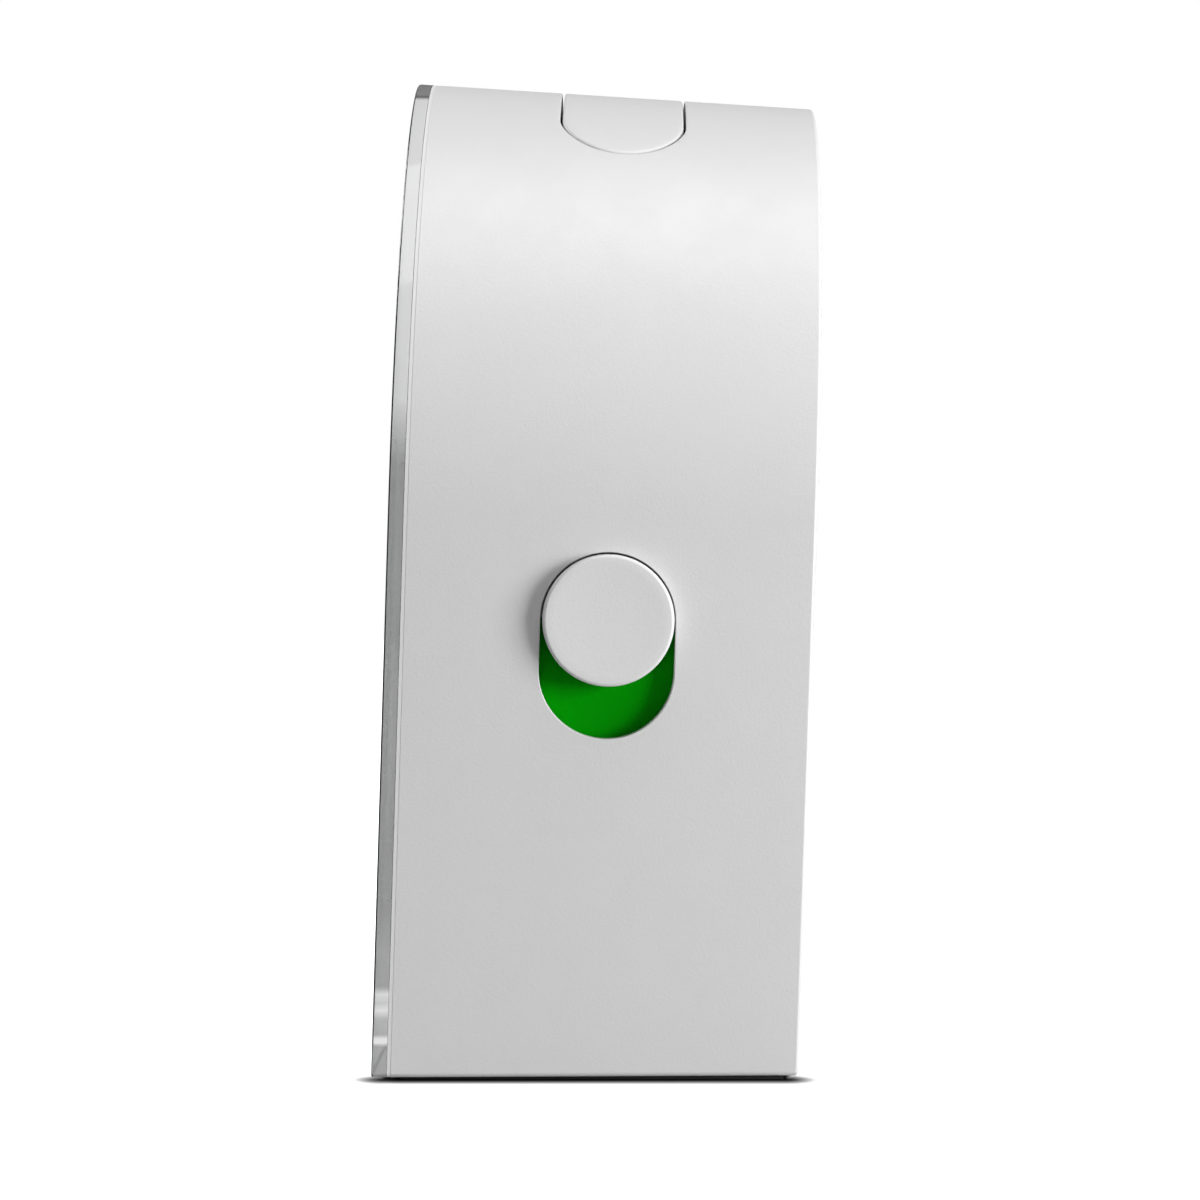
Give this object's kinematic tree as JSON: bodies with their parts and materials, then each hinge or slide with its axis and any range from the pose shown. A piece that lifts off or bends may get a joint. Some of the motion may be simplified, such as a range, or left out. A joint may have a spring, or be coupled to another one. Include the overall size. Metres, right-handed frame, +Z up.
{
  "type": "bedside alarm clock",
  "caption": "Free-standing arch-topped quartz alarm clock with a clear front lens, a snooze button over the crown, a side alarm switch and a flat base.",
  "frame": {"origin": "on the table, under the middle of the base", "axes": "+Z up, the lens faces -Y, the alarm switch is on the +X side"},
  "size_m": [0.0758, 0.0377, 0.0843],
  "materials": {
    "case_white": "satin, fine moulded texture",
    "clear_acrylic": "polished",
    "tape": "matt",
    "diffuser": "milky satin",
    "dial_white": "matt",
    "black_plastic": "matt",
    "inner_white": "moulded",
    "rubber": "matt",
    "green": "satin",
    "steel": "plated",
    "spring_steel": "drawn",
    "brass": "turned",
    "board": "solder mask",
    "led": "moulded",
    "cell": "printed sleeve",
    "lead": "insulated",
    "copper": "enamelled wire",
    "hand_black": "matt lacquer",
    "hand_green": "lacquer",
    "hand_silver": "lacquer"
  },
  "bodies": {
    "case": {"housing": "case_white", "lens": "clear_acrylic", "lens_tape": "tape", "light_ring": "diffuser", "dial": "dial_white", "chassis": "black_plastic", "base_pad": "rubber", "rear_cover": "case_white", "cover_screws": "steel", "chassis_screws": "steel", "snooze_bracket": "inner_white", "bracket_screws": "steel", "snooze_springs": "spring_steel", "snooze_switch": "black_plastic", "slider_guide": "inner_white", "detent_spring": "spring_steel", "slide_switch": "steel", "switch_board": "board", "led_board": "board", "leds": "led", "circuit_board": "board", "board_parts": "black_plastic", "speaker": "black_plastic", "battery": "cell", "plus_contact": "steel", "minus_contact": "spring_steel", "battery_leads": "lead", "speaker_leads": "lead", "movement_front_case": "black_plastic", "movement_rear_case": "inner_white", "movement_screws": "steel", "train_bridge": "brass", "movement_board": "board", "quartz_crystal": "steel", "coil": "copper", "coil_core": "steel", "stator": "steel"},
    "snooze": {"snooze_button": "case_white"},
    "stem": {"switch_stem": "black_plastic"},
    "slider": {"slider_knob": "case_white", "slider_carrier": "inner_white", "alarm_flag": "green", "switch_lever": "black_plastic"},
    "second": {"second_hand": "hand_silver", "second_wheel": "inner_white"},
    "intermediate": {"intermediate_wheel": "inner_white"},
    "rotor": {"rotor": "steel"},
    "third": {"third_wheel": "inner_white"},
    "centre": {"centre_wheel": "brass"},
    "minute": {"minute_hand": "hand_black", "cannon_pinion": "brass"},
    "hour": {"hour_hand": "hand_black", "hour_wheel": "inner_white"},
    "time_set": {"motion_wheel": "inner_white", "time_set_knob": "inner_white"},
    "alarm": {"alarm_hand": "hand_green", "alarm_wheel": "inner_white"},
    "alarm_set": {"alarm_arbor": "inner_white", "alarm_set_knob": "inner_white"},
    "door": {"battery_door": "case_white"}
  },
  "joints": [
    {"name": "snooze_press", "type": "slide", "parent": "case", "child": "snooze", "axis": [0, 0.0319, 0.9995], "range_m": [-0.0008, 0], "stiffness_N_per_m": 400, "springref_m": 0.001, "deforming": ["snooze_springs"]},
    {"name": "stem_press", "type": "slide", "parent": "case", "child": "stem", "axis": [0, 0.0319, 0.9995], "range_m": [-0.0008, 0]},
    {"name": "alarm_switch", "type": "slide", "parent": "case", "child": "slider", "axis": [0, 0.0319, 0.9995], "range_m": [-0.00419, 0]},
    {"name": "second_spin", "type": "hinge", "parent": "case", "child": "second", "pos_m": [0, -0.00108, 0.0464], "axis": [0, 0.9995, -0.0319], "continuous": true},
    {"name": "intermediate_spin", "type": "hinge", "parent": "case", "child": "intermediate", "pos_m": [-0.00624, -0.00097, 0.04999], "axis": [0, 0.9995, -0.0319], "continuous": true},
    {"name": "rotor_spin", "type": "hinge", "parent": "case", "child": "rotor", "pos_m": [-0.00863, -0.00118, 0.04342], "axis": [0, 0.9995, -0.0319], "continuous": true},
    {"name": "third_spin", "type": "hinge", "parent": "case", "child": "third", "pos_m": [0, -0.00084, 0.05387], "axis": [0, 0.9995, -0.0319], "continuous": true},
    {"name": "centre_spin", "type": "hinge", "parent": "case", "child": "centre", "pos_m": [0, -0.00108, 0.0464], "axis": [0, 0.9995, -0.0319], "continuous": true},
    {"name": "minute_spin", "type": "hinge", "parent": "case", "child": "minute", "pos_m": [0, -0.00608, 0.04656], "axis": [0, 0.9995, -0.0319], "continuous": true},
    {"name": "hour_spin", "type": "hinge", "parent": "case", "child": "hour", "pos_m": [0, -0.00608, 0.04656], "axis": [0, 0.9995, -0.0319], "continuous": true},
    {"name": "time_set_spin", "type": "hinge", "parent": "case", "child": "time_set", "pos_m": [0.00728, -0.00095, 0.0506], "axis": [0, 0.9995, -0.0319], "continuous": true},
    {"name": "alarm_spin", "type": "hinge", "parent": "case", "child": "alarm", "pos_m": [0, -0.00608, 0.04656], "axis": [0, 0.9995, -0.0319], "continuous": true},
    {"name": "alarm_set_spin", "type": "hinge", "parent": "case", "child": "alarm_set", "pos_m": [0, -0.00136, 0.0378], "axis": [0, 0.9995, -0.0319], "continuous": true},
    {"name": "battery_door", "type": "hinge", "parent": "case", "child": "door", "pos_m": [0, 0.01427, 0.00559], "axis": [-1, 0, 0], "range_deg": [0, 90]}
  ],
  "couplings": [
    {"joint": "stem_press", "follows": "snooze_press", "ratio": 1},
    {"joint": "intermediate_spin", "follows": "second_spin", "ratio": -5},
    {"joint": "rotor_spin", "follows": "second_spin", "ratio": 30},
    {"joint": "third_spin", "follows": "second_spin", "ratio": -0.13333},
    {"joint": "centre_spin", "follows": "second_spin", "ratio": 0.016667},
    {"joint": "hour_spin", "follows": "minute_spin", "ratio": 0.083333},
    {"joint": "time_set_spin", "follows": "minute_spin", "ratio": -0.33333},
    {"joint": "alarm_set_spin", "follows": "alarm_spin", "ratio": -3.3333}
  ]
}
